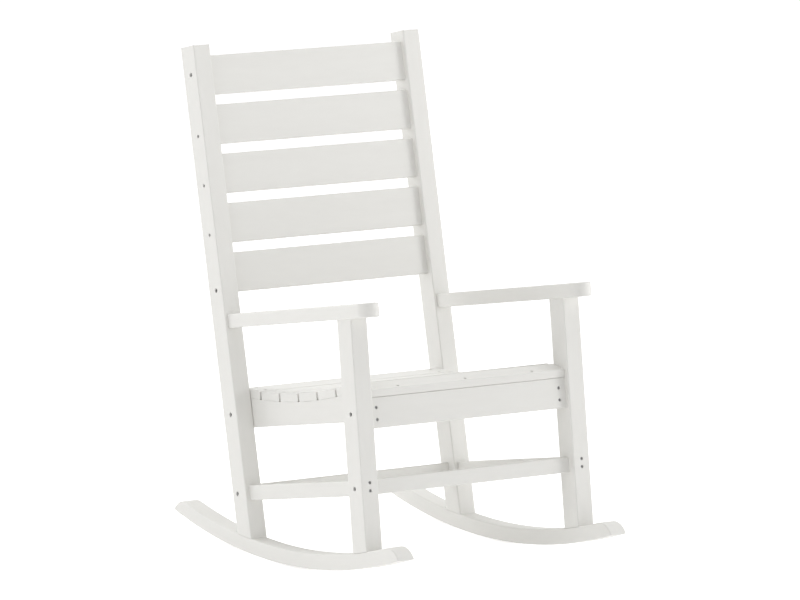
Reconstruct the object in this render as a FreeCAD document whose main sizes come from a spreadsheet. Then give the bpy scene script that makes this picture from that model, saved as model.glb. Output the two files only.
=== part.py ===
"""Slatted rocking porch chair of solid plastic lumber, as a parametric document.

The chair is drawn in its own level frame: arms, seat rails and stretchers are level, Y runs
from the front (-Y) to the back, Z is up, X is across, and the front bottom corner of the rear
posts is at Y = 0, Z = 0. At rest the chair leans back on its rockers, so each finished piece
is then turned by rest_tilt and lifted until the rockers touch Z = 0.
"""
import FreeCAD, Part
import math
import os
import re
import Sketcher

V = FreeCAD.Vector
doc = FreeCAD.newDocument("rocking_chair")

# Driving sizes, in millimetres, degrees and counts
SIZES = [
    ("overall_width", 613),
    ("post_width", 43.5),
    ("post_depth", 56),
    ("post_spacing", 469),
    ("rear_post_length", 1118.8),
    ("rear_post_lean", 2.7),
    ("front_post_lean", 2.43),
    ("edge_round", 3),
    ("rest_tilt", 11.62),
    ("rocker_radius", 1606.5),
    ("rocker_depth", 35.5),
    ("rocker_hub_setback", 354),
    ("rocker_front_reach", 590.5),
    ("rocker_rear_reach", 319),
    ("rocker_nose_radius", 44),
    ("board_thickness", 22),
    ("board_recess", 14),
    ("back_slat_height", 89.6),
    ("back_slat_gap", 22.4),
    ("back_slat_count", 5),
    ("back_top_reveal", 23.8),
    ("dish_radius", 1500),
    ("dish_setback", 197),
    ("dish_floor", 299.4),
    ("seat_slat_gap", 6.8),
    ("seat_slat_thickness", 19),
    ("seat_slat_count", 6),
    ("seat_side_clearance", 0.4),
    ("nose_width", 51),
    ("nose_slope", 18),
    ("side_rail_thickness", 35),
    ("side_rail_bottom", 247.6),
    ("front_rail_bottom", 230.9),
    ("rail_bolt_rise", 34),
    ("front_bolt_rise", 36.5),
    ("front_screw_rise", 32.5),
    ("arm_level", 475.8),
    ("arm_thickness", 32),
    ("arm_rear_width", 29),
    ("arm_front_width", 53),
    ("arm_overhang", 62.5),
    ("stretcher_height", 34),
    ("stretcher_level", 103),
    ("front_stretcher_setback", 30),
    ("rear_stretcher_setback", 35),
    ("bolt_shank", 6),
    ("bolt_head", 10),
    ("bolt_head_height", 5),
    ("bolt_recess", 3),
    ("bolt_socket", 3),
    ("bolt_socket_depth", 3),
    ("bolt_tip", 1),
    ("bolt_bite", 55),
    ("screw_shank", 4.5),
    ("screw_head", 7.6),
    ("screw_head_height", 3.5),
    ("screw_recess", 2.5),
    ("screw_socket", 2.3),
    ("screw_socket_depth", 2),
    ("screw_tip", 0.8),
    ("screw_bite", 42),
    ("seat_screw_bite", 28),
    ("hole_clearance", 0.15),
    ("upper_bolt_rise", 49),
    ("lower_bolt_rise", 7),
    ("slat_screw_rise", 21),
    ("rail_screw_spacing", 27),
    ("stretcher_screw_spacing", 18),
    ("stretcher_screw_lift", 2.5),
    ("rocker_screw_spacing", 24),
    ("arm_screw_spacing", 22),
    ("seat_screw_spacing", 36),
    ("seat_screw_inset", 8),
    ("nose_screw_spread", 180),
]

sheet = doc.addObject("Spreadsheet::Sheet", "Sizes")
for row, (alias, value) in enumerate(SIZES, start=1):
    sheet.set(f"A{row}", alias)
    sheet.set(f"B{row}", str(value))
    sheet.setAlias(f"B{row}", alias)
doc.recompute()

driving = {alias for alias, _ in SIZES}
worked_out = doc.addObject("App::VarSet", "Worked")


def tied(text):
    """An expression on the sheet, from text in which each size stands by its own name."""
    def link(match):
        word = match.group(0)
        if word in driving:
            return "Sizes." + word
        return "Worked." + word if hasattr(worked_out, word) else word
    return re.sub(r"[a-z][a-z_0-9]+", link, text)


def work_out(name, text):
    """Give a worked-out length, place or angle its own name."""
    worked_out.addProperty("App::PropertyFloat", name, "Worked")
    worked_out.setExpression(name, tied(text).replace("Worked.", ""))


def number(name):
    """The value of a driving or worked-out size, for a sketch's first shape."""
    return float(sheet.get(name)) if name in driving else getattr(worked_out, name)


# Places that several pieces share
work_out("half_width", "overall_width / 2")
work_out("post_x", "(overall_width - post_width) / 2")
work_out("inner_half", "overall_width / 2 - post_width")
work_out("slat_length", "2 * inner_half")
work_out("rear_tan", "tan(rear_post_lean)")
work_out("rear_sin", "sin(rear_post_lean)")
work_out("rear_cos", "cos(rear_post_lean)")
work_out("front_tan", "tan(front_post_lean)")
work_out("front_sin", "sin(front_post_lean)")
work_out("front_cos", "cos(front_post_lean)")
work_out("rocker_top", "rocker_radius - rocker_depth")
work_out("hub_y", "-rocker_hub_setback")
work_out("hub_z", "sqrt(rocker_top^2 - rocker_hub_setback^2)")
work_out("front_tip_z", "hub_z - sqrt(rocker_radius^2 - (rocker_front_reach - rocker_hub_setback)^2)")
work_out("rear_tip_z", "hub_z - sqrt(rocker_radius^2 - (rocker_rear_reach + rocker_hub_setback)^2)")
work_out("foremost_y", "front_tip_z * sin(rest_tilt) - rocker_front_reach * cos(rest_tilt)")
work_out("rear_tip_y", "rear_tip_z * sin(rest_tilt) + rocker_rear_reach * cos(rest_tilt)")
work_out("post_top_y", "rear_post_length * sin(rear_post_lean + rest_tilt)"
         " + post_depth * cos(rear_post_lean + rest_tilt)")
work_out("rest_y", "-(foremost_y + max(rear_tip_y; post_top_y)) / 2")
work_out("rest_z", "rocker_radius - rocker_hub_setback * sin(rest_tilt) - hub_z * cos(rest_tilt)")
work_out("board_middle", "board_recess + board_thickness / 2")
work_out("rail_level", "side_rail_bottom + rail_bolt_rise")
work_out("rear_rail_front", "rail_level * rear_tan + board_recess")
work_out("rear_rail_back", "rear_rail_front + board_thickness")
work_out("rear_rail_y", "rear_rail_front + board_thickness / 2")
work_out("front_rail_level", "front_rail_bottom + front_bolt_rise")
work_out("front_rail_front", "board_recess - post_spacing - front_rail_level * front_tan")
work_out("front_rail_back", "front_rail_front + board_thickness")
work_out("front_rail_y", "front_rail_front + board_thickness / 2")
work_out("side_rail_x", "inner_half - seat_side_clearance - side_rail_thickness / 2")
work_out("side_rail_length", "rear_rail_front - front_rail_back")
work_out("seat_length", "2 * (inner_half - seat_side_clearance)")
work_out("crest_y", "front_rail_front + (nose_width + seat_slat_gap / 2) * cos(nose_slope)")
work_out("seat_slat_width", "(rear_rail_back - crest_y + seat_slat_gap / 2) / seat_slat_count"
         " - seat_slat_gap")
work_out("seat_pitch", "seat_slat_width + seat_slat_gap")
work_out("first_slat_y", "rear_rail_back - seat_slat_width / 2")
work_out("dish_hub_z", "dish_floor + dish_radius")
work_out("crest_z", "dish_hub_z - sqrt(dish_radius^2 - (crest_y + dish_setback)^2)")
work_out("slat_chord", "sqrt(dish_radius^2 - (seat_slat_width / 2)^2)")
work_out("slat_middle", "slat_chord - seat_slat_thickness / 2")
work_out("slat_top", "slat_chord - seat_slat_thickness")
work_out("nose_reach", "seat_slat_gap / 2 + nose_width / 2")
work_out("rail_blank_top", "crest_z + board_thickness")
work_out("space_front", "front_rail_front - board_thickness")
work_out("space_front_z", "crest_z - (crest_y - space_front) * tan(nose_slope)")
work_out("space_back", "rear_rail_back + board_thickness")
work_out("space_top", "rail_blank_top + board_thickness")
work_out("space_run", "space_back - crest_y")
work_out("space_slope_run", "crest_y - space_front")
work_out("space_slope_rise", "crest_z - space_front_z")
work_out("front_rail_height", "rail_blank_top - front_rail_bottom")
work_out("side_rail_height", "rail_blank_top - side_rail_bottom")
work_out("front_rail_z", "front_rail_bottom + front_rail_height / 2")
work_out("side_rail_z", "side_rail_bottom + side_rail_height / 2")
work_out("arm_top", "arm_level + arm_thickness")
work_out("arm_back_y", "arm_top * rear_tan + edge_round")
work_out("arm_nose", "arm_front_width / 2")
work_out("arm_half_rear", "arm_rear_width / 2")
work_out("arm_nose_y", "arm_nose - arm_overhang - post_spacing - arm_level * front_tan")
work_out("front_post_foot", "2 * rocker_depth")
work_out("front_post_blank", "front_post_foot + (arm_level + arm_thickness / 2) / front_cos")
work_out("rear_post_blank", "rear_post_length + rocker_depth")
work_out("front_stretcher_y", "front_stretcher_setback - post_spacing - stretcher_level * front_tan")
work_out("rear_stretcher_y", "rear_stretcher_setback + stretcher_level * rear_tan")
slat_count = round(number("back_slat_count"))
seat_count = round(number("seat_slat_count"))
for index in range(seat_count):
    work_out(f"slat_angle_{index + 1}",
             f"asin((first_slat_y - {index} * seat_pitch + dish_setback) / dish_radius) / 1 deg")
doc.recompute()


def attach(body, name, role):
    """A sketch on one of a body's own planes."""
    sketch = body.newObject("Sketcher::SketchObject", name)
    plane = next(item for item in body.Origin.OriginFeatures if item.Role == role)
    sketch.AttachmentSupport = [(plane, "")]
    sketch.MapMode = "FlatFace"
    return sketch


def bind(sketch, kind, *items):
    """Add one constraint; its last item is the name of the size that drives it."""
    index = sketch.addConstraint(Sketcher.Constraint(kind, *items[:-1], number(items[-1])))
    sketch.setExpression(f"Constraints[{index}]", tied(items[-1]))


def place(item, x=None, y=None, z=None, turn=None, axis=V(1, 0, 0)):
    """Tie a piece's place, and its turn about one axis, to the sizes."""
    item.Placement = FreeCAD.Placement(V(), FreeCAD.Rotation(axis, 1 if turn else 0))
    for letter, text in (("x", x), ("y", y), ("z", z)):
        if text:
            item.setExpression(f"Placement.Base.{letter}", tied(text))
    if turn:
        item.setExpression("Placement.Rotation.Angle", tied(turn))


def pad(body, sketch, length):
    """Run a closed sketch out along its normal."""
    feature = body.newObject("PartDesign::Pad", body.Name + "_run")
    feature.Profile = sketch
    feature.setExpression("Length", tied(length))
    return feature


def board(name, role, across, up, length):
    """A length of extruded lumber: a rectangle with rounded corners, centred, then run out."""
    body = doc.addObject("PartDesign::Body", name)
    sketch = attach(body, name + "_section", role)
    w, h, r = number(across) / 2, number(up) / 2, number("edge_round")
    corners = [(w - r, -h + r, -90), (w - r, h - r, 0), (-w + r, h - r, 90), (-w + r, -h + r, 180)]
    arcs = []
    for cx, cy, start in corners:
        circle = Part.Circle(V(cx, cy, 0), V(0, 0, 1), r)
        first, last = math.radians(start), math.radians(start + 90)
        arcs.append(sketch.addGeometry(Part.ArcOfCircle(circle, first, last)))
    sides = [
        sketch.addGeometry(Part.LineSegment(V(w, -h + r, 0), V(w, h - r, 0))),
        sketch.addGeometry(Part.LineSegment(V(w - r, h, 0), V(-w + r, h, 0))),
        sketch.addGeometry(Part.LineSegment(V(-w, h - r, 0), V(-w, -h + r, 0))),
        sketch.addGeometry(Part.LineSegment(V(-w + r, -h, 0), V(w - r, -h, 0))),
    ]
    for place_in_ring in range(4):
        side, arc = sides[place_in_ring], arcs[place_in_ring]
        following = arcs[(place_in_ring + 1) % 4]
        sketch.addConstraint(Sketcher.Constraint("Tangent", arc, 2, side, 1))
        sketch.addConstraint(Sketcher.Constraint("Tangent", side, 2, following, 1))
    for arc in arcs[1:]:
        sketch.addConstraint(Sketcher.Constraint("Equal", arcs[0], arc))
    sketch.addConstraint(Sketcher.Constraint("Vertical", sides[0]))
    sketch.addConstraint(Sketcher.Constraint("Horizontal", sides[1]))
    sketch.addConstraint(Sketcher.Constraint("Symmetric", arcs[0], 3, arcs[2], 3, -1, 1))
    bind(sketch, "Radius", arcs[0], "edge_round")
    bind(sketch, "DistanceX", sides[2], 1, sides[0], 1, across)
    bind(sketch, "DistanceY", sides[3], 1, sides[1], 1, up)
    pad(body, sketch, length)
    return body


def flat_edges(shape, axis):
    """Names of the edges that lie flat across this axis: the rims of a padded outline."""
    names = []
    for index, edge in enumerate(shape.Edges, start=1):
        box = edge.BoundBox
        if (box.XLength, box.YLength, box.ZLength)[axis] < 1e-6:
            names.append(f"Edge{index}")
    return names


def round_rims(body, feature, axis):
    """Round the rims of a board that was sawn to an outline."""
    doc.recompute()
    fillet = body.newObject("PartDesign::Fillet", body.Name + "_rims")
    fillet.Base = (feature, flat_edges(feature.Shape, axis))
    fillet.setExpression("Radius", tied("edge_round"))
    body.Tip = fillet


def rocker(name, side):
    """One rocker: a bow of even depth, with both ends rounded down to the rolling edge."""
    body = doc.addObject("PartDesign::Body", name)
    sketch = attach(body, name + "_outline", "YZ_Plane")
    hub = V(number("hub_y"), number("hub_z"), 0)
    low, top, nose = number("rocker_radius"), number("rocker_top"), number("rocker_nose_radius")
    front = V(-number("rocker_front_reach"), number("front_tip_z"), 0)
    rear = V(number("rocker_rear_reach"), number("rear_tip_z"), 0)
    centres = []
    for tip, way in ((front, 1), (rear, -1)):
        # the nose's centre lies below the top edge by its own radius and as far from the tip
        reach = top + nose
        at_tip = math.atan2(tip.y - hub.y, tip.x - hub.x)
        spread = math.acos((low**2 + reach**2 - nose**2) / (2 * low * reach))
        angle = at_tip + way * spread
        centres.append((hub + V(math.cos(angle), math.sin(angle), 0) * reach, angle))
    (front_centre, front_angle), (rear_centre, rear_angle) = centres
    circle = Part.Circle(hub, V(0, 0, 1), low)
    at_front = math.atan2(front.y - hub.y, front.x - hub.x)
    at_rear = math.atan2(rear.y - hub.y, rear.x - hub.x)
    bottom = sketch.addGeometry(Part.ArcOfCircle(circle, at_front, at_rear))
    circle = Part.Circle(hub, V(0, 0, 1), top)
    upper = sketch.addGeometry(Part.ArcOfCircle(circle, front_angle, rear_angle))
    noses = []
    for centre, angle, tip, is_front in (
        (front_centre, front_angle, front, True),
        (rear_centre, rear_angle, rear, False),
    ):
        circle = Part.Circle(centre, V(0, 0, 1), nose)
        at_top = angle + math.pi
        at_tip = math.atan2(tip.y - centre.y, tip.x - centre.x)
        ends = (at_top, at_tip) if is_front else (at_tip, at_top)
        noses.append(sketch.addGeometry(Part.ArcOfCircle(circle, *ends)))
    for constraint in (
        ("Coincident", bottom, 3, upper, 3),
        ("Tangent", upper, 1, noses[0], 1),
        ("Tangent", upper, 2, noses[1], 2),
        ("Coincident", noses[0], 2, bottom, 1),
        ("Coincident", noses[1], 1, bottom, 2),
        ("Equal", noses[0], noses[1]),
    ):
        sketch.addConstraint(Sketcher.Constraint(*constraint))
    bind(sketch, "Radius", bottom, "rocker_radius")
    bind(sketch, "Radius", upper, "rocker_top")
    bind(sketch, "Radius", noses[0], "rocker_nose_radius")
    bind(sketch, "DistanceX", bottom, 3, -1, 1, "rocker_hub_setback")
    bind(sketch, "DistanceY", -1, 1, bottom, 3, "hub_z")
    bind(sketch, "DistanceX", bottom, 1, -1, 1, "rocker_front_reach")
    bind(sketch, "DistanceX", -1, 1, bottom, 2, "rocker_rear_reach")
    run = pad(body, sketch, "post_width")
    round_rims(body, run, 0)
    place(body, x=f"{side} * post_x - post_width / 2")
    return body


def arm(name, side):
    """One arm: narrow at the rear post, widening to a half-round paddle in front."""
    body = doc.addObject("PartDesign::Body", name)
    sketch = attach(body, name + "_outline", "XY_Plane")
    back, rear = number("arm_back_y"), number("arm_half_rear")
    nose, nose_y = number("arm_nose"), number("arm_nose_y")
    circle = Part.Circle(V(0, nose_y, 0), V(0, 0, 1), nose)
    tip = sketch.addGeometry(Part.ArcOfCircle(circle, -math.pi, 0))
    right = sketch.addGeometry(Part.LineSegment(V(nose, nose_y, 0), V(rear, back, 0)))
    end = sketch.addGeometry(Part.LineSegment(V(rear, back, 0), V(-rear, back, 0)))
    left = sketch.addGeometry(Part.LineSegment(V(-rear, back, 0), V(-nose, nose_y, 0)))
    for constraint in (
        ("Tangent", tip, 2, right, 1),
        ("Coincident", right, 2, end, 1),
        ("Coincident", end, 2, left, 1),
        ("Tangent", left, 2, tip, 1),
        ("Symmetric", end, 1, end, 2, -2),
        ("PointOnObject", tip, 3, -2),
    ):
        sketch.addConstraint(Sketcher.Constraint(*constraint))
    bind(sketch, "Radius", tip, "arm_nose")
    bind(sketch, "DistanceX", end, 2, end, 1, "arm_rear_width")
    bind(sketch, "DistanceY", -1, 1, end, 1, "arm_back_y")
    sketch.addConstraint(Sketcher.Constraint("DistanceY", tip, 3, -1, 1, -nose_y))
    sketch.setExpression(f"Constraints[{sketch.ConstraintCount - 1}]", tied("-arm_nose_y"))
    run = pad(body, sketch, "arm_thickness")
    round_rims(body, run, 2)
    place(body, x=f"{side} * post_x", z="arm_level")
    return body


def seat_space():
    """What lies above the seat rails: the dished top they are sawn to, and its front slope."""
    body = doc.addObject("PartDesign::Body", "seat_space")
    sketch = attach(body, "seat_space_outline", "YZ_Plane")
    hub = V(-number("dish_setback"), number("dish_hub_z"), 0)
    radius = number("dish_radius")
    front, back, top = number("space_front"), number("space_back"), number("space_top")
    crest = V(number("crest_y"), number("crest_z"), 0)
    low = V(front, number("space_front_z"), 0)
    rear = V(back, hub.y - math.sqrt(radius**2 - (back - hub.x) ** 2), 0)
    circle = Part.Circle(hub, V(0, 0, 1), radius)
    at_crest = math.atan2(crest.y - hub.y, crest.x - hub.x)
    at_rear = math.atan2(rear.y - hub.y, rear.x - hub.x)
    dish = sketch.addGeometry(Part.ArcOfCircle(circle, at_crest, at_rear))
    up = sketch.addGeometry(Part.LineSegment(rear, V(back, top, 0)))
    over = sketch.addGeometry(Part.LineSegment(V(back, top, 0), V(front, top, 0)))
    down = sketch.addGeometry(Part.LineSegment(V(front, top, 0), low))
    slope = sketch.addGeometry(Part.LineSegment(low, crest))
    ring = (dish, up, over, down, slope)
    for item, following in zip(ring, ring[1:] + ring[:1]):
        sketch.addConstraint(Sketcher.Constraint("Coincident", item, 2, following, 1))
    sketch.addConstraint(Sketcher.Constraint("Vertical", up))
    sketch.addConstraint(Sketcher.Constraint("Horizontal", over))
    sketch.addConstraint(Sketcher.Constraint("Vertical", down))
    bind(sketch, "Radius", dish, "dish_radius")
    bind(sketch, "DistanceX", dish, 3, -1, 1, "dish_setback")
    bind(sketch, "DistanceY", -1, 1, dish, 3, "dish_hub_z")
    bind(sketch, "DistanceX", dish, 1, dish, 2, "space_run")
    bind(sketch, "DistanceX", -1, 1, dish, 2, "space_back")
    bind(sketch, "DistanceY", -1, 1, over, 1, "space_top")
    bind(sketch, "DistanceX", slope, 1, slope, 2, "space_slope_run")
    bind(sketch, "DistanceY", slope, 1, slope, 2, "space_slope_rise")
    pad(body, sketch, "overall_width")
    place(body, x="-half_width")
    return body


def cylinder(name, radius, height, z):
    """A plain cylinder on the Z axis."""
    item = doc.addObject("Part::Cylinder", name)
    item.setExpression("Radius", tied(radius))
    item.setExpression("Height", tied(height))
    place(item, z=z)
    return item


def joined(kind, name, items):
    """A fusion or a compound of several objects."""
    item = doc.addObject(kind, name)
    if kind == "Part::Compound":
        item.Links = items
    else:
        item.Shapes = items
    return item


def cut(name, base, tool):
    """One object with another taken out of it."""
    item = doc.addObject("Part::Cut", name)
    item.Base = base
    item.Tool = tool
    return item


def fastener(name, kind, passes, bite):
    """A socket-head screw and the stepped hole for it, both pointing down from a face at Z = 0.

    kind is bolt or screw, passes is the board that it goes through, bite its length beyond.
    """
    head, shank = f"({kind}_head / 2)", f"({kind}_shank / 2)"
    seat = f"({kind}_recess + {kind}_head_height)"
    end = f"({passes} + {bite})"
    parts = [
        cylinder(name + "_head", head, f"{kind}_head_height", f"-{seat}"),
        cylinder(name + "_shank", shank, f"{end} - {seat} - {kind}_shank", f"{kind}_shank - {end}"),
    ]
    tip = doc.addObject("Part::Cone", name + "_tip")
    tip.setExpression("Radius1", tied(f"{kind}_tip / 2"))
    tip.setExpression("Radius2", tied(shank))
    tip.setExpression("Height", tied(f"{kind}_shank"))
    place(tip, z=f"-{end}")
    blank = joined("Part::MultiFuse", name + "_blank", parts + [tip])
    socket = doc.addObject("Part::Prism", name + "_socket")
    socket.Polygon = 6
    socket.setExpression("Circumradius", tied(f"{kind}_socket"))
    socket.setExpression("Height", tied(f"{kind}_socket_depth"))
    place(socket, z=f"-{kind}_recess - {kind}_socket_depth")
    solid = cut(name, blank, socket)
    wide = cylinder(name + "_bore", f"{head} + hole_clearance", f"2 * {seat}", f"-{seat}")
    thin = cylinder(name + "_hole", f"{shank} + hole_clearance", f"{end} - {seat}", f"-{end}")
    hole = joined("Part::MultiFuse", name + "_way", [wide, thin])
    return solid, hole


def copies(name, pair, spots):
    """Copies of a fastener and of its hole at each spot: x, y, z, turn and the axis of the turn."""
    groups = []
    for master, ending in zip(pair, ("", "_holes")):
        links = []
        for index, (x, y, z, turn, axis) in enumerate(spots, start=1):
            link = doc.addObject("App::Link", f"{name}{ending}_{index}")
            link.LinkedObject = master
            place(link, x, y, z, turn, axis)
            links.append(link)
        groups.append(joined("Part::Compound", name + ending + "_group", links))
    return groups


def rolling_face(y, z, along_y, along_z):
    """How far below a point the rolling edge lies, measured along a post's own line."""
    across, above = f"({y} + rocker_hub_setback)", f"({z} - hub_z)"
    along = f"({across} * {along_y} + {above} * {along_z})"
    return f"{along} + sqrt({along}^2 + rocker_radius^2 - {across}^2 - {above}^2)"


# Fasteners, by the board that each goes through
frame_bolt = fastener("frame_bolt", "bolt", "post_width", "bolt_bite")
slat_screw = fastener("slat_screw", "screw", "post_width", "screw_bite")
rail_screw = fastener("rail_screw", "screw", "board_thickness", "screw_bite")
post_screw = fastener("post_screw", "screw", "post_depth", "screw_bite")
arm_screw = fastener("arm_screw", "screw", "arm_thickness", "screw_bite")
rocker_screw = fastener("rocker_screw", "screw", "rocker_depth", "screw_bite")
seat_screw = fastener("seat_screw", "screw", "seat_slat_thickness", "seat_screw_bite")

ACROSS, ALONG = V(0, 1, 0), V(1, 0, 0)
SIDES = ((1, "left"), (-1, "right"))


def from_side(y, z):
    """A pair of spots on the outer faces of the posts, pointing inwards."""
    return [(f"{side} * half_width", y, z, f"{side} * 90", ACROSS) for side, _ in SIDES]


def up_rear_post(rise, depth):
    """The y and z of a point this far up a rear post and this far behind its front face."""
    return f"({rise}) * rear_sin + ({depth}) * rear_cos", f"({rise}) * rear_cos - ({depth}) * rear_sin"


def slat_bottom(index):
    """How far up the rear posts the lower edge of a back slat is."""
    return f"(rear_post_length - back_top_reveal - {index} * (back_slat_height + back_slat_gap)" \
        " - back_slat_height)"


back_bolt_spots = from_side(*up_rear_post(f"{slat_bottom(0)} + upper_bolt_rise", "board_middle"))
back_bolt_spots += from_side(
    *up_rear_post(f"{slat_bottom(slat_count - 1)} + lower_bolt_rise", "board_middle"))
slat_screw_spots = []
for index in range(1, slat_count - 1):
    rise = f"{slat_bottom(index)} + slat_screw_rise"
    slat_screw_spots += from_side(*up_rear_post(rise, "board_middle"))
rail_bolt_spots = from_side("front_rail_y", "front_rail_level") + from_side("rear_rail_y", "rail_level")
stretcher_bolt_spots = from_side("front_stretcher_y", "stretcher_level")
stretcher_bolt_spots += from_side("rear_stretcher_y", "stretcher_level")

front_rail_spots, rear_rail_spots, stretcher_spots = [], [], []
arm_front_spots, arm_rear_spots, rocker_spots, seat_spots = [], [], [], []
for side, _ in SIDES:
    for end in (1, -1):
        x, level = f"{side} * side_rail_x", f"{end} * rail_screw_spacing / 2"
        low = f"front_rail_bottom + front_screw_rise + {level}"
        front_rail_spots.append((x, "front_rail_front", low, "90", ALONG))
        rear_rail_spots.append((x, "rear_rail_back", f"rail_level + {level}", "-90", ALONG))
        x = f"{side} * post_x"
        z = f"(stretcher_level + stretcher_screw_lift + {end} * stretcher_screw_spacing / 2)"
        stretcher_spots.append((x, f"-post_spacing - {z} * front_tan", z, "90", ALONG))
        stretcher_spots.append((x, f"{z} * rear_tan + post_depth / rear_cos", z, "-90", ALONG))
        y = "post_depth / 2 / front_cos - post_spacing - arm_level * front_tan"
        arm_front_spots.append((x, f"{y} + {end} * arm_screw_spacing / 2", "arm_top", None, ALONG))
        depth = f"(post_depth / 2 + {end} * rocker_screw_spacing / 2)"
        y, z = f"({depth} * rear_cos)", f"(-{depth} * rear_sin)"
        fall = f"({rolling_face(y, z, 'rear_sin', 'rear_cos')})"
        rocker_spots.append((x, f"{y} - {fall} * rear_sin", f"{z} - {fall} * rear_cos",
                             "180 - rear_post_lean", ALONG))
        y, z = f"({depth} * front_cos - post_spacing)", f"({depth} * front_sin)"
        fall = f"({rolling_face(y, z, '(-front_sin)', 'front_cos')})"
        rocker_spots.append((x, f"{y} + {fall} * front_sin", f"{z} - {fall} * front_cos",
                             "180 + front_post_lean", ALONG))
    level = "(arm_level + arm_thickness / 2)"
    y = f"{level} * rear_tan + post_depth / rear_cos"
    arm_rear_spots.append((f"{side} * post_x", y, level, "-90", ALONG))

for index in range(seat_count):
    angle = f"slat_angle_{index + 1}"
    for side, _ in SIDES:
        for end in (1, -1):
            shift = f"{end} * seat_screw_spacing / 2"
            seat_spots.append((
                f"{side} * (side_rail_x - seat_screw_inset)",
                f"slat_top * sin({angle}) + {shift} * cos({angle}) - dish_setback",
                f"dish_hub_z - slat_top * cos({angle}) + {shift} * sin({angle})",
                angle, ALONG))
for place_along in (-1, 0, 1):
    rise = "(crest_z - (crest_y - front_rail_y) * tan(nose_slope))"
    seat_spots.append((
        f"{place_along} * nose_screw_spread",
        "front_rail_y - seat_slat_thickness * sin(nose_slope)",
        f"{rise} + seat_slat_thickness * cos(nose_slope)",
        "nose_slope", ALONG))

FASTENERS = [
    ("back_frame_bolts", frame_bolt, back_bolt_spots),
    ("back_slat_screws", slat_screw, slat_screw_spots),
    ("seat_rail_bolts", frame_bolt, rail_bolt_spots),
    ("stretcher_bolts", frame_bolt, stretcher_bolt_spots),
    ("front_rail_screws", rail_screw, front_rail_spots),
    ("rear_rail_screws", rail_screw, rear_rail_spots),
    ("side_stretcher_screws", post_screw, stretcher_spots),
    ("arm_front_screws", arm_screw, arm_front_spots),
    ("arm_rear_screws", post_screw, arm_rear_spots),
    ("rocker_screws", rocker_screw, rocker_spots),
    ("seat_slat_screws", seat_screw, seat_spots),
]
holes, finished = {}, []


def finish(item, node):
    """Name a finished piece, and set it down in the chair's rest pose."""
    item.Label = node
    place(item, y="rest_y", z="rest_z", turn="-rest_tilt")
    finished.append(item)


def drilled(node, base, groups, others=()):
    """A board with its holes, and anything else that it is fitted to, taken out of it."""
    tools = [holes[group] for group in groups] + list(others)
    tool = joined("Part::Compound", node + "_tools", tools) if len(tools) > 1 else tools[0]
    finish(cut(node + "_cut", base, tool), node)


for node, pair, spots in FASTENERS:
    solids, holes[node] = copies(node, pair, spots)
    finish(solids, node)

# Rockers and posts
rocker_crown = cylinder("rocker_crown", "rocker_top", "overall_width", None)
place(rocker_crown, x="-half_width", y="hub_y", z="hub_z", turn="90", axis=ACROSS)
blanks = {}
for side, label in SIDES:
    bow = rocker(f"rocker_{label}_bow", side)
    drilled(f"rocker_{label}", bow, ["rocker_screws"])
    blanks["arm", label] = arm(f"arm_{label}_blank", side)
    rear = board(f"rear_post_{label}_blank", "XY_Plane", "post_width", "post_depth", "rear_post_blank")
    place(rear, x=f"{side} * post_x",
          y="post_depth / 2 * rear_cos - rocker_depth * rear_sin",
          z="-post_depth / 2 * rear_sin - rocker_depth * rear_cos",
          turn="-rear_post_lean")
    front = board(f"front_post_{label}_blank", "XY_Plane", "post_width", "post_depth",
                  "front_post_blank")
    place(front, x=f"{side} * post_x",
          y="post_depth / 2 * front_cos - post_spacing + front_post_foot * front_sin",
          z="post_depth / 2 * front_sin - front_post_foot * front_cos",
          turn="front_post_lean")
    blanks["rear", label], blanks["front", label] = rear, front
    for post in (rear, front):
        footed = doc.addObject("Part::Common", post.Name.replace("_blank", "_footed"))
        footed.Base = post
        footed.Tool = rocker_crown
        blanks[post.Name] = footed
    drilled(f"rear_post_{label}", blanks[rear.Name],
            ["back_frame_bolts", "back_slat_screws", "seat_rail_bolts", "stretcher_bolts",
             "side_stretcher_screws", "arm_rear_screws", "rocker_screws"])
    drilled(f"front_post_{label}", blanks[front.Name],
            ["seat_rail_bolts", "stretcher_bolts", "side_stretcher_screws", "arm_front_screws",
             "rocker_screws"], [blanks["arm", label]])

# Arms and stretchers
for side, label in SIDES:
    drilled(f"arm_{label}", blanks["arm", label], ["arm_front_screws", "arm_rear_screws"],
            [blanks["rear", label]])
    bar = board(f"side_stretcher_{label}_blank", "XZ_Plane", "board_thickness", "stretcher_height",
                "post_spacing")
    place(bar, x=f"{side} * post_x", y="post_depth / 2", z="stretcher_level")
    drilled(f"side_stretcher_{label}", bar, ["side_stretcher_screws"],
            [blanks["rear", label], blanks["front", label]])
for end in ("front", "rear"):
    bar = board(f"{end}_stretcher_blank", "YZ_Plane", "board_thickness", "stretcher_height",
                "slat_length")
    place(bar, x="-inner_half", y=f"{end}_stretcher_y", z="stretcher_level")
    drilled(f"{end}_stretcher", bar, ["stretcher_bolts"])

# Seat rails, all sawn to the same dished top
space = seat_space()
rails = (("front", "front_rail_height", "front_rail_z"), ("rear", "side_rail_height", "side_rail_z"))
for end, height, middle in rails:
    rail = board(f"seat_{end}_rail_blank", "YZ_Plane", "board_thickness", height, "slat_length")
    place(rail, x="-inner_half", y=f"{end}_rail_y", z=middle)
    drilled(f"seat_{end}_rail", rail, ["seat_rail_bolts", f"{end}_rail_screws", "seat_slat_screws"],
            [space])
for side, label in SIDES:
    rail = board(f"seat_side_rail_{label}_blank", "XZ_Plane", "side_rail_thickness",
                 "side_rail_height", "side_rail_length")
    place(rail, x=f"{side} * side_rail_x", y="rear_rail_front", z="side_rail_z")
    drilled(f"seat_side_rail_{label}", rail,
            ["front_rail_screws", "rear_rail_screws", "seat_slat_screws"], [space])

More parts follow.
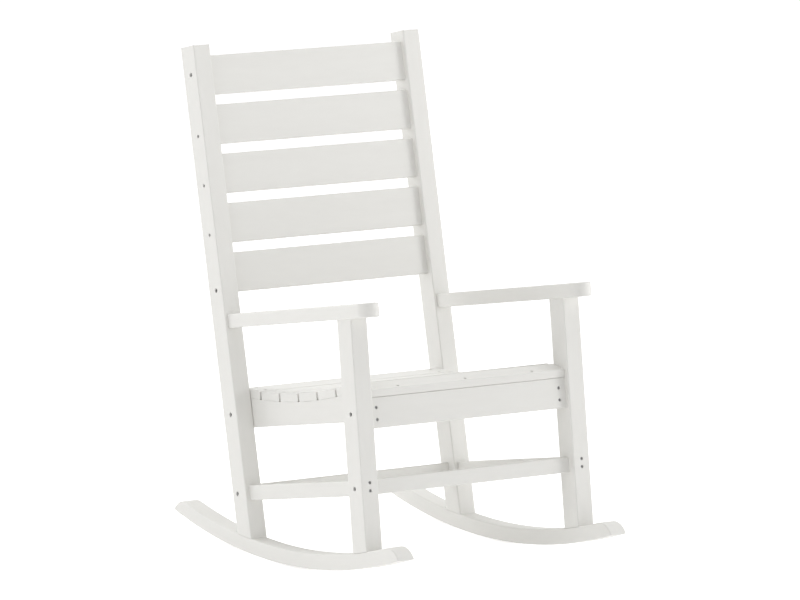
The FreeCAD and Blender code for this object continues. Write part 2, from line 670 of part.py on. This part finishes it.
# Seat slats, from the back to the front, then the nose slat
for index in range(seat_count):
    angle = f"slat_angle_{index + 1}"
    slat = board(f"seat_slat_{index + 1}_blank", "YZ_Plane", "seat_slat_width", "seat_slat_thickness",
                 "seat_length")
    place(slat, x="-seat_length / 2", y=f"slat_middle * sin({angle}) - dish_setback",
          z=f"dish_hub_z - slat_middle * cos({angle})", turn=angle)
    drilled(f"seat_slat_{index + 1}", slat, ["seat_slat_screws"])
nose = board("seat_nose_blank", "YZ_Plane", "nose_width", "seat_slat_thickness", "seat_length")
place(nose, x="-seat_length / 2",
      y="crest_y - nose_reach * cos(nose_slope) - seat_slat_thickness / 2 * sin(nose_slope)",
      z="crest_z - nose_reach * sin(nose_slope) + seat_slat_thickness / 2 * cos(nose_slope)",
      turn="nose_slope")
drilled("seat_nose_slat", nose, ["seat_slat_screws"])

# Back slats, from the top down
for index in range(slat_count):
    slat = board(f"back_slat_{index + 1}_blank", "YZ_Plane", "board_thickness", "back_slat_height",
                 "slat_length")
    y, z = up_rear_post(f"{slat_bottom(index)} + back_slat_height / 2", "board_middle")
    place(slat, x="-inner_half", y=y, z=z, turn="-rear_post_lean")
    drilled(f"back_slat_{index + 1}", slat, ["back_frame_bolts", "back_slat_screws"])

doc.recompute()
for item in doc.Objects:
    if "Invalid" in item.State or "Error" in item.State:
        raise RuntimeError(f"{item.Name} failed: {item.State}")

# Centre of mass against the rockers' hub: the tilt at which the empty chair comes to rest
STEEL_KG_PER_LITRE = 7.9
LUMBER_KG_PER_LITRE = 0.85
STEEL_TO_PLASTIC = STEEL_KG_PER_LITRE / LUMBER_KG_PER_LITRE
total, moment = 0.0, V()
for item in finished:
    shape = item.Shape
    if shape.isNull() or not shape.isValid():
        raise RuntimeError(f"{item.Label} has no valid shape")
    weight = STEEL_TO_PLASTIC if item.Label.endswith(("bolts", "screws")) else 1.0
    for solid in shape.Solids:
        total += weight * solid.Volume
        moment += solid.CenterOfMass * (weight * solid.Volume)
centre = moment * (1 / total)
hub_rest = finished[0].Placement.multVec(V(0, number("hub_y"), number("hub_z")))
lean = math.degrees(math.atan2(centre.y - hub_rest.y, hub_rest.z - centre.z))
print(f"centre of mass {centre}, hub {hub_rest}, out of balance by {lean:.3f} degrees")

os.makedirs("parts", exist_ok=True)
for item in finished:
    item.Shape.exportStep(f"parts/{item.Label}.step")
    box = item.Shape.BoundBox
    print(f"{item.Label}: {len(item.Shape.Solids)} solids, {item.Shape.Volume / 1000:.1f} cm3,"
          f" y {box.YMin:.1f} to {box.YMax:.1f}, z {box.ZMin:.1f} to {box.ZMax:.1f}")
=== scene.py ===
# %% [markdown]
# # A slatted rocking porch chair in white plastic lumber
# This lesson dresses a finished CAD model of a porch rocker and sets it up like a catalogue
# picture. The chair is built from 28 boards and 11 sets of screws. The shapes are right already,
# so the lesson is about finish, light and camera: what makes a plain white board look like
# extruded plastic lumber rather than like paper.

import math

import bpy
from mathutils import Euler, Matrix, Vector


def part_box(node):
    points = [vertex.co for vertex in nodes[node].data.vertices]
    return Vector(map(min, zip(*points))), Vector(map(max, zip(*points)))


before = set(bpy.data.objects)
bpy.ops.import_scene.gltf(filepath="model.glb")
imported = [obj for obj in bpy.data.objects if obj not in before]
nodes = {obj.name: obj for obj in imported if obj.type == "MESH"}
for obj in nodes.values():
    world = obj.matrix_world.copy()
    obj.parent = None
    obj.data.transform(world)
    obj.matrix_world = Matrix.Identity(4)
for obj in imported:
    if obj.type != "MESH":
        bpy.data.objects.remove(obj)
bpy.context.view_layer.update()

# %% [markdown]
# ## How the boards lie
# Plastic lumber is pushed through a die, so every mark on it runs along the board. To draw such
# marks, each material has to know which way its board runs. The chair is tipped back on its
# rockers, so no board but the cross boards follows a world axis. These are the angles that the
# frame was built with, in degrees.

# %% The chair's own angles
REST_TILT = 11.62
REAR_LEAN = 2.7
FRONT_LEAN = 2.43
ROCKER_RADIUS = 1.6065
HUB_BEHIND_ORIGIN = 0.0911
low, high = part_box("rocker_left")
rocker_hub = Vector((0, HUB_BEHIND_ORIGIN, ROCKER_RADIUS))
print("the rockers roll about", tuple(rocker_hub), "and reach from", low.y, "to", high.y)

# %% [markdown]
# ## White plastic lumber
# Extruded plastic boards have a satin skin with fine lines along their length, and a slow
# waviness. Both are made of noise that is stretched along the board: thin and long for the fine
# lines, wide and longer still for the slow waves. A short, faint mottling varies the pigment.
# The rockers are bent, so there the stretch follows the bend. Cut ends get the same finish as
# the sides, so they have no saw marks of their own.

# %% Small helpers for node trees
def new_material(name):
    material = bpy.data.materials.new(name)
    material.use_nodes = True
    tree = material.node_tree
    tree.nodes.clear()
    return material, tree


def add(tree, kind, label=None, **settings):
    node = tree.nodes.new(kind)
    node.label = label or ""
    for key, value in settings.items():
        if key in node.inputs:
            node.inputs[key].default_value = value
        else:
            setattr(node, key, value)
    return node


def math_node(tree, operation, first, second=None):
    node = add(tree, "ShaderNodeMath", operation=operation)
    for socket, value in zip(node.inputs, (first, second)):
        if value is None:
            continue
        if isinstance(value, (int, float)):
            socket.default_value = value
        else:
            tree.links.new(value, socket)
    return node.outputs[0]


def spread(tree, value, low_in, high_in, low_out, high_out):
    node = add(tree, "ShaderNodeMapRange")
    node.inputs["From Min"].default_value = low_in
    node.inputs["From Max"].default_value = high_in
    node.inputs["To Min"].default_value = low_out
    node.inputs["To Max"].default_value = high_out
    tree.links.new(value, node.inputs["Value"])
    return node.outputs["Result"]


def bumped(tree, shader, height, strength, distance):
    """Let a height pattern tilt the shading of the surface."""
    bump = add(tree, "ShaderNodeBump")
    bump.inputs["Strength"].default_value = strength
    bump.inputs["Distance"].default_value = distance
    tree.links.new(height, bump.inputs["Height"])
    tree.links.new(bump.outputs["Normal"], shader.inputs["Normal"])


def as_surface(tree, shader):
    output = add(tree, "ShaderNodeOutputMaterial")
    tree.links.new(shader.outputs[0], output.inputs["Surface"])


def seen_directly(tree):
    """1 for rays from the camera and for mirror rays, 0 for the rays that light the chair."""
    rays = add(tree, "ShaderNodeLightPath")
    return math_node(tree, "MAXIMUM", rays.outputs["Is Camera Ray"], rays.outputs["Is Glossy Ray"])


print("helpers ready")

# %% A board's own coordinates
def straight_grain(tree, turn):
    """Position with X across, Y across and Z along the board, after undoing the board's turn."""
    place = add(tree, "ShaderNodeTexCoord")
    mapping = add(tree, "ShaderNodeMapping", vector_type="POINT")
    mapping.inputs["Rotation"].default_value = turn
    tree.links.new(place.outputs["Object"], mapping.inputs["Vector"])
    return mapping.outputs["Vector"]


def bent_grain(tree):
    """Position on a rocker: across, distance from the hub, and the run along the bend."""
    place = add(tree, "ShaderNodeTexCoord")
    split = add(tree, "ShaderNodeSeparateXYZ")
    tree.links.new(place.outputs["Object"], split.inputs[0])
    back = math_node(tree, "SUBTRACT", split.outputs["Y"], rocker_hub.y)
    down = math_node(tree, "SUBTRACT", rocker_hub.z, split.outputs["Z"])
    angle = math_node(tree, "ARCTAN2", back, down)
    run = math_node(tree, "MULTIPLY", angle, ROCKER_RADIUS)
    square = math_node(tree, "ADD", math_node(tree, "MULTIPLY", back, back),
                       math_node(tree, "MULTIPLY", down, down))
    reach = math_node(tree, "SQRT", square)
    joined = add(tree, "ShaderNodeCombineXYZ")
    tree.links.new(split.outputs["X"], joined.inputs["X"])
    tree.links.new(reach, joined.inputs["Y"])
    tree.links.new(run, joined.inputs["Z"])
    return joined.outputs[0]


def stretched(tree, grain, size):
    """Grain coordinates scaled so that a pattern is size wide, size high and size long."""
    scale = add(tree, "ShaderNodeVectorMath", operation="MULTIPLY")
    tree.links.new(grain, scale.inputs[0])
    scale.inputs[1].default_value = tuple(1 / length for length in size)
    return scale.outputs[0]


print("grain runs along the boards, and round the bend of the rockers")

# %% The lumber material
LUMBER_WHITE = (0.76, 0.753, 0.724, 1)
LUMBER_SHADE = (0.742, 0.734, 0.705, 1)
BRUSH_WIDTH = 0.0007
BRUSH_LENGTH = 0.09
BRUSH_DEPTH = 0.00005
WAVE_WIDTH = 0.03
WAVE_LENGTH = 0.5
WAVE_DEPTH = 0.0006
WAVE_SEED_STEP = 5
MOTTLE_SIZE = (0.012, 0.012, 0.05)
LUMBER_ROUGHNESS = (0.42, 0.56)


def lumber(name, turn=None, seed=0.0):
    material, tree = new_material(name)
    grain = bent_grain(tree) if turn is None else straight_grain(tree, turn)
    brushed = add(tree, "ShaderNodeTexNoise", "brushed lines", noise_dimensions="4D")
    brushed.inputs["W"].default_value = seed
    brushed.inputs["Scale"].default_value = 1.0
    brushed.inputs["Detail"].default_value = 3.0
    tree.links.new(stretched(tree, grain, (BRUSH_WIDTH, BRUSH_WIDTH, BRUSH_LENGTH)),
                   brushed.inputs["Vector"])
    waves = add(tree, "ShaderNodeTexNoise", "slow cooling waves", noise_dimensions="4D")
    waves.inputs["W"].default_value = seed + WAVE_SEED_STEP
    waves.inputs["Scale"].default_value = 1.0
    waves.inputs["Detail"].default_value = 2.0
    tree.links.new(stretched(tree, grain, (WAVE_WIDTH, WAVE_WIDTH, WAVE_LENGTH)),
                   waves.inputs["Vector"])
    mottle = add(tree, "ShaderNodeTexNoise", "pigment")
    mottle.inputs["Scale"].default_value = 1.0
    mottle.inputs["Detail"].default_value = 4.0
    tree.links.new(stretched(tree, grain, MOTTLE_SIZE), mottle.inputs["Vector"])

    tint = add(tree, "ShaderNodeMix", "colour", data_type="RGBA")
    tint.inputs["A"].default_value = LUMBER_WHITE
    tint.inputs["B"].default_value = LUMBER_SHADE
    mixed = math_node(tree, "ADD", math_node(tree, "MULTIPLY", waves.outputs["Fac"], 0.5),
                      math_node(tree, "MULTIPLY", mottle.outputs["Fac"], 0.5))
    tree.links.new(spread(tree, mixed, 0.35, 0.7, 0.0, 1.0), tint.inputs["Factor"])

    shader = add(tree, "ShaderNodeBsdfPrincipled")
    shader.inputs["IOR"].default_value = 1.5
    shader.inputs["Specular IOR Level"].default_value = 0.4
    tree.links.new(tint.outputs["Result"], shader.inputs["Base Color"])
    tree.links.new(spread(tree, brushed.outputs["Fac"], 0.3, 0.7, *LUMBER_ROUGHNESS),
                   shader.inputs["Roughness"])
    fine = math_node(tree, "MULTIPLY", brushed.outputs["Fac"], BRUSH_DEPTH)
    slow = math_node(tree, "MULTIPLY", waves.outputs["Fac"], WAVE_DEPTH)
    bumped(tree, shader, math_node(tree, "ADD", fine, slow), strength=0.5, distance=1.0)
    as_surface(tree, shader)
    return material


def turned(axis_turn, degrees=0.0):
    """The turn that brings a board's long axis onto Z, for a board along X or one tipped about X."""
    if axis_turn == "across":
        return Euler((0, math.radians(90), 0))
    return Euler((math.radians(degrees), 0, 0))


finishes = {
    "across": lumber("white lumber, cross boards", turned("across"), 1),
    "rear posts": lumber("white lumber, rear posts", turned("tipped", REST_TILT + REAR_LEAN), 2),
    "front posts": lumber("white lumber, front posts", turned("tipped", REST_TILT - FRONT_LEAN), 3),
    "arms": lumber("white lumber, arms", turned("tipped", REST_TILT + 90), 4),
    "rockers": lumber("white lumber, bent rockers", None, 5),
}
print("five lumber finishes:", ", ".join(finishes))

# %% Which finish each board takes
def finish_of(name):
    if name.startswith("rocker_") and not name.endswith("screws"):
        return finishes["rockers"]
    if name.startswith("rear_post"):
        return finishes["rear posts"]
    if name.startswith("front_post"):
        return finishes["front posts"]
    if name.startswith(("arm_left", "arm_right", "side_stretcher_left", "side_stretcher_right",
                        "seat_side_rail")):
        return finishes["arms"]
    return finishes["across"]


# %% [markdown]
# ## Screws
# The fasteners sit below the surface, and they look like small grey dots. A grey metal with an
# uneven, scraped roughness gives that without any extra shape, because the heads and sockets
# are real solids. No dots show in the picture on the front board of the seat or on the arms'
# tops, so the heads there are taken to have a white coat in the colour of the boards. That is a
# guess.

# %% The two screw finishes
SCRAPE_SCALE = 900.0
SCRAPE_DEPTH = 0.0002


def screw_finish(name, dark, light, metallic):
    material, tree = new_material(name)
    place = add(tree, "ShaderNodeTexCoord")
    scrape = add(tree, "ShaderNodeTexNoise", "scrapes")
    scrape.inputs["Scale"].default_value = SCRAPE_SCALE
    scrape.inputs["Detail"].default_value = 4.0
    tree.links.new(place.outputs["Object"], scrape.inputs["Vector"])
    tint = add(tree, "ShaderNodeMix", "bare and scraped", data_type="RGBA")
    tint.inputs["A"].default_value = dark
    tint.inputs["B"].default_value = light
    tree.links.new(spread(tree, scrape.outputs["Fac"], 0.52, 0.72, 0.0, 1.0), tint.inputs["Factor"])
    shader = add(tree, "ShaderNodeBsdfPrincipled")
    shader.inputs["Metallic"].default_value = metallic
    tree.links.new(tint.outputs["Result"], shader.inputs["Base Color"])
    tree.links.new(spread(tree, scrape.outputs["Fac"], 0.3, 0.7, 0.3, 0.5), shader.inputs["Roughness"])
    bumped(tree, shader, scrape.outputs["Fac"], strength=0.3, distance=SCRAPE_DEPTH)
    as_surface(tree, shader)
    return material


steel = screw_finish("stainless steel", (0.36, 0.36, 0.365, 1), (0.6, 0.6, 0.61, 1), 0.9)
white_coat = screw_finish("white coated steel", LUMBER_WHITE, LUMBER_SHADE, 0.0)
white_heads = ("seat_slat_screws", "arm_front_screws")
for name, piece in nodes.items():
    if name in white_heads:
        finish, slot = white_coat, "white_fastener"
    elif name.endswith(("bolts", "screws")):
        finish, slot = steel, "fastener"
    else:
        finish, slot = finish_of(name), "lumber"
    piece.data.materials.clear()
    piece.data.materials.append(finish)
print("finished", len(nodes), "pieces")

# %% [markdown]
# ## Floor
# A catalogue picture has a floor so pale that it melts into the background. The floor is a real
# white surface, so it keeps the chair's shadow and throws light up under the seat. It glows a
# little by itself, and a little more to the camera, which lifts it to white.

# %% A pale floor
FLOOR_GLOW = 0.274
FLOOR_LIFT = 0.26
FLOOR_SIZE = 80


def floor_finish():
    material, tree = new_material("pale studio floor")
    shader = add(tree, "ShaderNodeBsdfPrincipled")
    shader.inputs["Base Color"].default_value = (0.86, 0.86, 0.86, 1)
    shader.inputs["Roughness"].default_value = 0.9
    shader.inputs["Emission Color"].default_value = (1, 1, 1, 1)
    glow = spread(tree, seen_directly(tree), 0, 1, FLOOR_GLOW, FLOOR_GLOW + FLOOR_LIFT)
    tree.links.new(glow, shader.inputs["Emission Strength"])
    as_surface(tree, shader)
    return material


bpy.ops.mesh.primitive_plane_add(size=FLOOR_SIZE, location=(0, 0, 0))
floor = bpy.context.object
floor.name = "studio_floor"
floor.data.materials.append(floor_finish())
print("floor laid at z = 0")

# %% [markdown]
# ## Light
# White on white only reads if its faces differ. In the picture, boards that face left or right
# are brighter than boards that face the viewer, the tops are brightest, and the arms' round
# noses, which face the viewer squarely, are the darkest. So soft boxes stand to the chair's left,
# behind it, overhead and, weaker, on the near side, and the sky is a little dimmer on the
# viewer's side than on the far side. The sky's own direction drives that, so it is a fixed sky
# and doesn't turn with the camera. The strengths are held down so that the faces which the
# picture doesn't show stay just below white as well.

# %% Soft boxes, all aimed at the chair's middle
AIM_HEIGHT = 0.55


def soft_box(name, place, size, power):
    light = bpy.data.lights.new(name, "AREA")
    light.shape = "SQUARE"
    light.size = size
    light.energy = power
    box = bpy.data.objects.new(name, light)
    box.location = place
    aim = Vector((0, 0, AIM_HEIGHT))
    box.rotation_euler = (aim - Vector(place)).to_track_quat("-Z", "Y").to_euler()
    bpy.context.scene.collection.objects.link(box)
    return box


soft_box("near_box", (-4.2, -1.2, 1.6), 2.6, 31)
soft_box("left_box", (3.6, -2.2, 1.3), 1.6, 58)
soft_box("top_box", (0, 0, 4.5), 3.5, 61)
soft_box("back_box", (-1.5, 4.0, 2.2), 2.6, 57)
print("four soft boxes")

# %% A sky that is dimmer on the viewer's side
SKY_LEVEL = 0.611
SKY_AWAY = (0.178, 0.264, 0)
world = bpy.data.worlds.new("studio sky")
world.use_nodes = True
bpy.context.scene.world = world
tree = world.node_tree
tree.nodes.clear()
heading = add(tree, "ShaderNodeTexCoord")
away = add(tree, "ShaderNodeVectorMath", operation="DOT_PRODUCT")
tree.links.new(heading.outputs["Generated"], away.inputs[0])
away.inputs[1].default_value = SKY_AWAY
lit = math_node(tree, "ADD", away.outputs["Value"], SKY_LEVEL)
strength = add(tree, "ShaderNodeMix", "white to the camera", data_type="FLOAT")
tree.links.new(seen_directly(tree), strength.inputs["Factor"])
tree.links.new(lit, strength.inputs["A"])
strength.inputs["B"].default_value = 1.0
sky = add(tree, "ShaderNodeBackground")
sky.inputs["Color"].default_value = (1, 1, 1, 1)
tree.links.new(strength.outputs["Result"], sky.inputs["Strength"])
output = add(tree, "ShaderNodeOutputWorld")
tree.links.new(sky.outputs[0], output.inputs["Surface"])
print("sky from", SKY_LEVEL - Vector(SKY_AWAY).length, "to", SKY_LEVEL + Vector(SKY_AWAY).length)

# %% [markdown]
# ## Camera
# The picture was taken from far away with a long lens, from the chair's front and right, a little
# above the seat. The direction was worked out with the chair tipped back by 9.4 degrees. At rest
# it tips back by 11.62, so the camera is turned about the same axis as the chair, and the picture
# stays as it was.

# %% The camera at the picture's angle
PHOTO_TILT = 9.4
LENS = 323.52
SENSOR = 36.0
CAMERA_PLACE = (-8.91056, -13.38683, 2.86612)
CHAIR_SHIFT = (0, 0.12959, 0.035971)
camera_data = bpy.data.cameras.new("picture_camera")
camera_data.lens = LENS
camera_data.sensor_width = SENSOR
camera_data.clip_end = 100
camera = bpy.data.objects.new("picture_camera", camera_data)
right = Vector((0.82967, -0.55825, 0)).normalized()
forward = Vector((0.55239, 0.82097, -0.14451)).normalized()
upward = right.cross(forward)
level = Matrix((right, upward, -forward)).transposed().to_4x4()
level.translation = CAMERA_PLACE
turn = Matrix.Rotation(math.radians(PHOTO_TILT - REST_TILT), 4, "X")
shift = Matrix.Translation(CHAIR_SHIFT)
camera.matrix_world = shift @ turn @ level
bpy.context.scene.collection.objects.link(camera)
bpy.context.scene.camera = camera
bpy.context.scene.view_settings.view_transform = "Standard"
print("camera at", tuple(round(value, 3) for value in camera.location))
